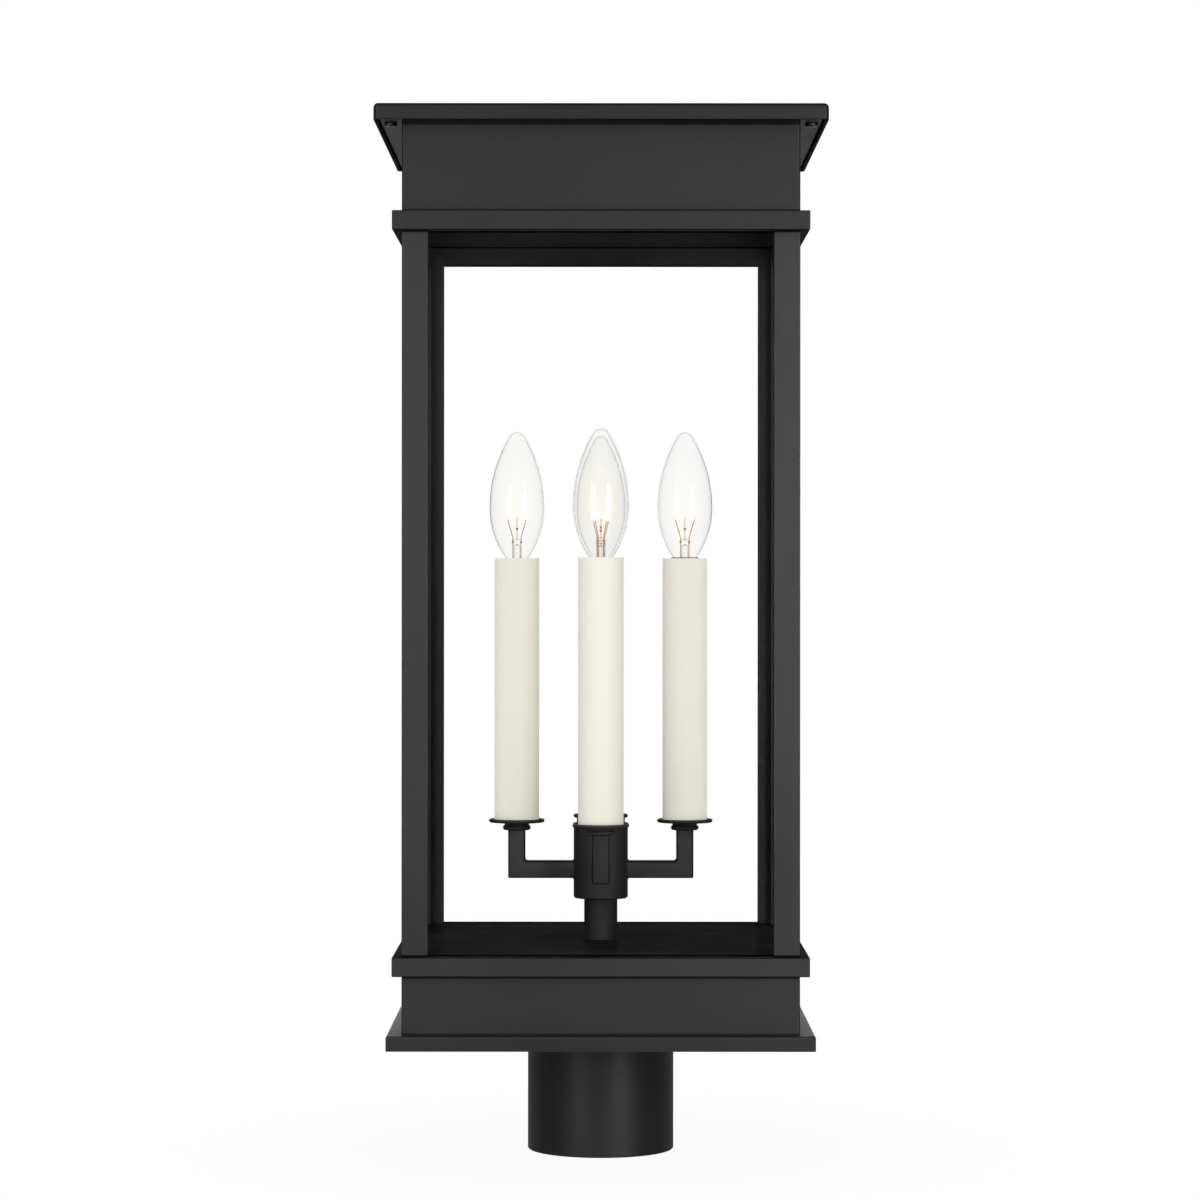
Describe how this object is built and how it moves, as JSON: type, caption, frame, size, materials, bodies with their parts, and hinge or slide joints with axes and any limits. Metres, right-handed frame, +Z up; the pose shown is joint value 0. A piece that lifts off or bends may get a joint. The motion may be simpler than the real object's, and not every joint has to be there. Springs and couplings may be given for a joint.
{
  "type": "post top lantern",
  "caption": "Square glazed lantern with a flat overhanging roof, candle style lights on a central hub and a round fitter that slides over a post.",
  "frame": {"origin": "centre of the post fitter's mouth, the lowest point of the lantern", "axes": "+Z up, front faces -Y, +X to the right as seen from the front"},
  "size_m": [0.2396, 0.2396, 0.5664],
  "materials": {
    "black_paint": "satin, fine powder-coat texture",
    "black_screw": "satin black",
    "zinc_steel": "zinc plated",
    "clear_glass": "clear, polished",
    "ivory_sleeve": "matt ivory",
    "socket_black": "matt black",
    "brass": "bright",
    "bulb_glass": "clear, polished",
    "bulb_cap": "nickel plated",
    "bulb_mount": "glass stem with copper coloured lead wires"
  },
  "bodies": {
    "root": {"arm_back": "black_paint", "arm_front": "black_paint", "arm_left": "black_paint", "arm_right": "black_paint", "base_box": "black_paint", "bottom_plate": "black_paint", "corner_post_back_left": "black_paint", "corner_post_back_right": "black_paint", "corner_post_front_left": "black_paint", "corner_post_front_right": "black_paint", "drip_disc_back": "black_paint", "drip_disc_front": "black_paint", "drip_disc_left": "black_paint", "drip_disc_right": "black_paint", "fitter_fasteners": "zinc_steel", "floor_plate": "black_paint", "frieze_box": "black_paint", "glass_beads": "black_paint", "hub": "black_paint", "hub_cap": "black_paint", "lower_collar": "black_paint", "nipples": "zinc_steel", "pane_back": "clear_glass", "pane_front": "clear_glass", "pane_left": "clear_glass", "pane_right": "clear_glass", "post_fitter": "black_paint", "roof_screws": "black_screw", "seat_collars": "black_paint", "sleeve_back": "ivory_sleeve", "sleeve_front": "ivory_sleeve", "sleeve_left": "ivory_sleeve", "sleeve_right": "ivory_sleeve", "socket_bodies": "socket_black", "socket_brackets": "zinc_steel", "socket_contacts": "brass", "socket_shells": "brass", "soffit_plate": "black_paint", "stem_locknuts": "zinc_steel", "stem_rod": "zinc_steel", "stem_tube": "black_paint", "stem_washer": "zinc_steel", "upper_collar": "black_paint", "wire_bush": "socket_black"},
    "roof": {"roof_cap": "black_paint"},
    "bulb_front": {"bulb_glass_front": "bulb_glass", "bulb_cap_front": "bulb_cap", "bulb_mount_front": "bulb_mount"},
    "bulb_right": {"bulb_glass_right": "bulb_glass", "bulb_cap_right": "bulb_cap", "bulb_mount_right": "bulb_mount"},
    "bulb_back": {"bulb_glass_back": "bulb_glass", "bulb_cap_back": "bulb_cap", "bulb_mount_back": "bulb_mount"},
    "bulb_left": {"bulb_glass_left": "bulb_glass", "bulb_cap_left": "bulb_cap", "bulb_mount_left": "bulb_mount"},
    "set_screw_right": {"set_screw_right": "black_screw"},
    "set_screw_back": {"set_screw_back": "black_screw"},
    "set_screw_left": {"set_screw_left": "black_screw"}
  },
  "joints": [
    {"name": "roof_lift", "type": "slide", "parent": "root", "child": "roof", "axis": [0, 0, 1], "range_m": [0, 0.15]},
    {"name": "bulb_front_lift", "type": "slide", "parent": "root", "child": "bulb_front", "axis": [0, 0, 1], "range_m": [0, 0.036]},
    {"name": "bulb_right_lift", "type": "slide", "parent": "root", "child": "bulb_right", "axis": [0, 0, 1], "range_m": [0, 0.036]},
    {"name": "bulb_back_lift", "type": "slide", "parent": "root", "child": "bulb_back", "axis": [0, 0, 1], "range_m": [0, 0.036]},
    {"name": "bulb_left_lift", "type": "slide", "parent": "root", "child": "bulb_left", "axis": [0, 0, 1], "range_m": [0, 0.036]},
    {"name": "set_screw_right_travel", "type": "slide", "parent": "root", "child": "set_screw_right", "axis": [-0.9397, -0.342, 0], "range_m": [0, 0.002]},
    {"name": "set_screw_back_travel", "type": "slide", "parent": "root", "child": "set_screw_back", "axis": [0, -1, 0], "range_m": [0, 0.002]},
    {"name": "set_screw_left_travel", "type": "slide", "parent": "root", "child": "set_screw_left", "axis": [0.9397, -0.342, 0], "range_m": [0, 0.002]}
  ]
}
